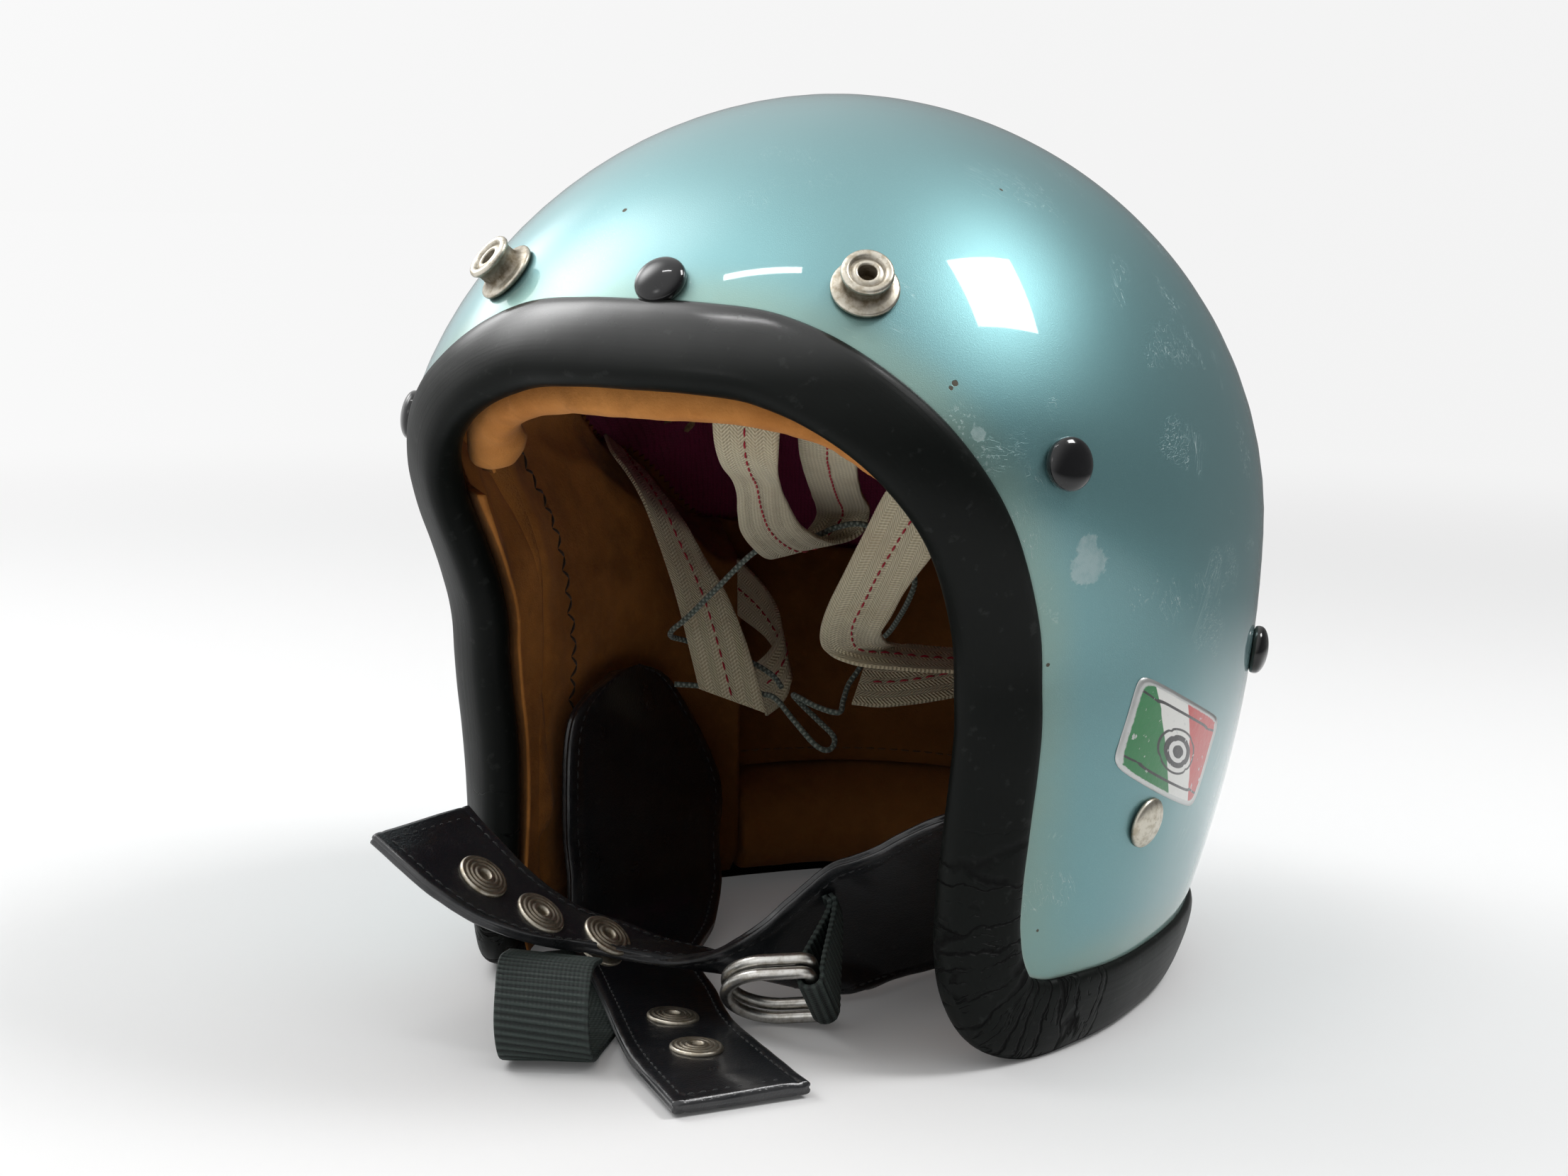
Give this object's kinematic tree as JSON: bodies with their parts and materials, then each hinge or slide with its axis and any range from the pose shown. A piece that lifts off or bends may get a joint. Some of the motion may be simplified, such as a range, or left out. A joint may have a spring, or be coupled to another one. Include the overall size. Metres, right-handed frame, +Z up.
{
  "type": "open-face motorcycle helmet",
  "caption": "Open-face motorcycle helmet with a rubber-edged painted shell, suede lining, laced tape cradle, press studs and a double D-ring chin strap.",
  "frame": {"origin": "middle of the bounding box's bottom face, on the surface that the rubber edge stands on", "axes": "+Z up; the face opening looks along -Y; +X is the wearer's left"},
  "size_m": [0.24, 0.2777, 0.2602],
  "materials": {
    "shell_paint": "gloss",
    "edge_rubber": "satin",
    "liner_cork": "matte",
    "crown_cloth": "matte",
    "suede": "matte",
    "black_leather": "gloss",
    "black_enamel": "gloss",
    "aged_nickel": "satin",
    "ring_steel": "satin",
    "webbing": "matte",
    "cradle_tape": "matte",
    "lace": "matte"
  },
  "bodies": {
    "helmet": {"outer_shell": "shell_paint", "edge_trim": "edge_rubber", "impact_liner": "liner_cork", "crown_liner": "crown_cloth", "side_lining_left": "suede", "side_lining_right": "suede", "rear_lining": "suede", "neck_roll": "suede", "brow_pad": "suede", "lacing_cord": "lace", "strap_rivet_left": "aged_nickel", "strap_rivet_right": "aged_nickel", "visor_stud_left": "aged_nickel", "visor_stud_right": "aged_nickel", "dome_rivet_front": "black_enamel", "dome_rivet_front_left": "black_enamel", "dome_rivet_front_right": "black_enamel", "dome_rivet_rear_left": "black_enamel", "dome_rivet_rear_right": "black_enamel", "dome_rivet_rear": "black_enamel", "cradle_tape_front": "cradle_tape", "cradle_tape_left_front": "cradle_tape", "cradle_tape_left_rear": "cradle_tape", "cradle_tape_right_front": "cradle_tape", "cradle_tape_right_rear": "cradle_tape"},
    "left_strap": {"chin_strap_left": "black_leather", "snap_cap_1": "aged_nickel", "snap_cap_2": "aged_nickel", "snap_cap_3": "aged_nickel", "ring_loop": "webbing"},
    "right_strap": {"chin_strap_right": "black_leather", "snap_stud_1": "aged_nickel", "snap_stud_2": "aged_nickel", "webbing_tail": "webbing"},
    "upper_ring": {"d_ring_upper": "ring_steel"},
    "lower_ring": {"d_ring_lower": "ring_steel"}
  },
  "joints": [
    {"name": "left_strap_swing", "type": "hinge", "parent": "helmet", "child": "left_strap", "pos_m": [0.07056, -0.01631, 0.07266], "axis": [0.9632, -0.1709, -0.2073], "range_deg": [-45, 0]},
    {"name": "right_strap_swing", "type": "hinge", "parent": "helmet", "child": "right_strap", "pos_m": [-0.07056, -0.01631, 0.07266], "axis": [-0.9632, -0.1709, -0.2073], "range_deg": [-20, 0]},
    {"name": "upper_ring_swing", "type": "hinge", "parent": "left_strap", "child": "upper_ring", "pos_m": [0.02962, -0.0612, 0.01631], "axis": [-0.14, 0.7199, -0.6799], "range_deg": [0, 12]},
    {"name": "lower_ring_swing", "type": "hinge", "parent": "left_strap", "child": "lower_ring", "pos_m": [0.03086, -0.06382, 0.01328], "axis": [-0.14, 0.7199, -0.6799], "range_deg": [0, 12]}
  ],
  "couplings": [
    {"joint": "lower_ring_swing", "follows": "upper_ring_swing", "ratio": 1}
  ]
}
